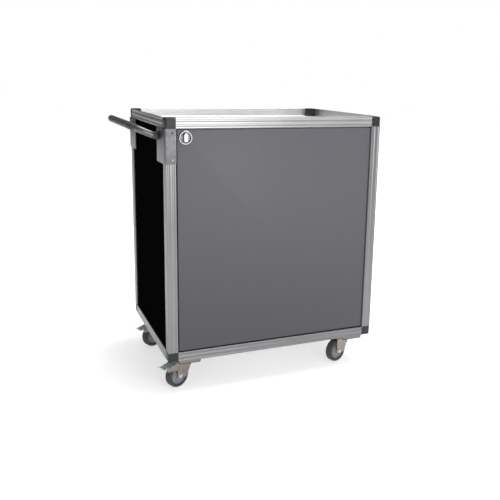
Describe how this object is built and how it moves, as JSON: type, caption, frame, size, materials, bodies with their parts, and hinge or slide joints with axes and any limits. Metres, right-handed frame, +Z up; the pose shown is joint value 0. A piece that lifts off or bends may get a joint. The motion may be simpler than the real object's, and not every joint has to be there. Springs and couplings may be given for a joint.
{
  "type": "housekeeping cart",
  "caption": "Closed housekeeping cart: aluminium-profile cabinet with a lockable hinged door, sunk top tray, fold-down push handle and braked swivel castors.",
  "frame": {"origin": "on the floor under the middle of the outline", "axes": "+X along the front to the hinge end, +Y from the door to the back, +Z up; the push handle is at the -X end"},
  "size_m": [1.0172, 0.67, 1.09],
  "materials": {
    "profile": "satin anodised",
    "connector": "moulded, fine grain",
    "black_panel": "smooth matt",
    "side_panel": "smooth matt",
    "door_board": "fine-grained matt laminate",
    "board": "matt laminate",
    "angle": "zinc plated",
    "hinge": "satin black",
    "bracket": "satin grey",
    "zinc": "bright zinc",
    "beam": "black powder coat",
    "chrome": "polished",
    "tube": "satin",
    "grip": "matt",
    "fork": "bright zinc, warm tint",
    "tyre": "matt grey rubber",
    "hub": "moulded grey",
    "pedal": "green-grey passivated zinc"
  },
  "bodies": {
    "frame": {"post_front_left": "profile", "post_front_right": "profile", "post_back_left": "profile", "post_back_right": "profile", "top_rail_front": "profile", "top_rail_back": "profile", "top_rail_left": "profile", "top_rail_right": "profile", "bottom_rail_front": "profile", "bottom_rail_back": "profile", "bottom_rail_left": "profile", "bottom_rail_right": "profile", "top_corner_connectors": "connector", "bottom_corner_connectors": "connector", "end_panel_left": "black_panel", "end_panel_right": "side_panel", "back_panel": "side_panel", "floor_board": "board", "tray_board": "board", "shelf_lower": "board", "shelf_upper": "board", "shelf_supports": "angle", "door_stop": "angle", "hinge_frame_leaf": "hinge", "hinge_pin": "hinge", "handle_bracket_front": "bracket", "handle_bracket_back": "bracket", "bracket_screws": "zinc", "handle_pivot_bolts": "zinc", "castor_beams": "beam", "castor_plates": "zinc", "castor_bolts": "zinc"},
    "door": {"door_panel": "door_board", "hinge_door_leaf": "hinge", "lock_rosette": "chrome", "lock_nut": "zinc"},
    "lock": {"lock_knob": "chrome", "lock_cam": "zinc"},
    "handle": {"handle_tube": "tube", "handle_grip": "grip", "handle_end_plugs": "tube"},
    "swivel_front_left": {"castor_fork_front_left": "fork", "castor_axle_front_left": "zinc"},
    "wheel_front_left": {"castor_tyre_front_left": "tyre", "castor_hub_front_left": "hub"},
    "pedal_front_left": {"brake_pedal_front_left": "pedal"},
    "swivel_front_right": {"castor_fork_front_right": "fork", "castor_axle_front_right": "zinc"},
    "wheel_front_right": {"castor_tyre_front_right": "tyre", "castor_hub_front_right": "hub"},
    "swivel_back_left": {"castor_fork_back_left": "fork", "castor_axle_back_left": "zinc"},
    "wheel_back_left": {"castor_tyre_back_left": "tyre", "castor_hub_back_left": "hub"},
    "pedal_back_left": {"brake_pedal_back_left": "pedal"},
    "swivel_back_right": {"castor_fork_back_right": "fork", "castor_axle_back_right": "zinc"},
    "wheel_back_right": {"castor_tyre_back_right": "tyre", "castor_hub_back_right": "hub"}
  },
  "joints": [
    {"name": "door_hinge", "type": "hinge", "parent": "frame", "child": "door", "pos_m": [0.4656, -0.322, 0.615], "axis": [0, 0, 1], "range_deg": [0, 175]},
    {"name": "lock_turn", "type": "hinge", "parent": "door", "child": "lock", "pos_m": [-0.31639, -0.313, 1.017], "axis": [0, 1, 0], "range_deg": [0, 90]},
    {"name": "handle_fold", "type": "hinge", "parent": "frame", "child": "handle", "pos_m": [-0.4114, 0.004, 1.019], "axis": [0, -1, 0], "range_deg": [0, 112]},
    {"name": "swivel_turn_front_left", "type": "hinge", "parent": "frame", "child": "swivel_front_left", "pos_m": [-0.3054, -0.221, 0.114], "axis": [0, 0, 1], "continuous": true},
    {"name": "wheel_spin_front_left", "type": "hinge", "parent": "swivel_front_left", "child": "wheel_front_left", "pos_m": [-0.33712, -0.23579, 0.05], "axis": [-0.4226, 0.9063, 0], "continuous": true},
    {"name": "brake_press_front_left", "type": "hinge", "parent": "swivel_front_left", "child": "pedal_front_left", "pos_m": [-0.34346, -0.23875, 0.105], "axis": [0.4226, -0.9063, 0], "range_deg": [0, 10]},
    {"name": "swivel_turn_front_right", "type": "hinge", "parent": "frame", "child": "swivel_front_right", "pos_m": [0.42261, -0.221, 0.114], "axis": [0, 0, 1], "continuous": true},
    {"name": "wheel_spin_front_right", "type": "hinge", "parent": "swivel_front_right", "child": "wheel_front_right", "pos_m": [0.38971, -0.23297, 0.05], "axis": [-0.342, 0.9397, 0], "continuous": true},
    {"name": "swivel_turn_back_left", "type": "hinge", "parent": "frame", "child": "swivel_back_left", "pos_m": [-0.3054, 0.229, 0.114], "axis": [0, 0, 1], "continuous": true},
    {"name": "wheel_spin_back_left", "type": "hinge", "parent": "swivel_back_left", "child": "wheel_back_left", "pos_m": [-0.33712, 0.21421, 0.05], "axis": [-0.4226, 0.9063, 0], "continuous": true},
    {"name": "brake_press_back_left", "type": "hinge", "parent": "swivel_back_left", "child": "pedal_back_left", "pos_m": [-0.34346, 0.21125, 0.105], "axis": [0.4226, -0.9063, 0], "range_deg": [0, 10]},
    {"name": "swivel_turn_back_right", "type": "hinge", "parent": "frame", "child": "swivel_back_right", "pos_m": [0.42261, 0.229, 0.114], "axis": [0, 0, 1], "continuous": true},
    {"name": "wheel_spin_back_right", "type": "hinge", "parent": "swivel_back_right", "child": "wheel_back_right", "pos_m": [0.3888, 0.23806, 0.05], "axis": [0.2588, 0.9659, 0], "continuous": true}
  ]
}
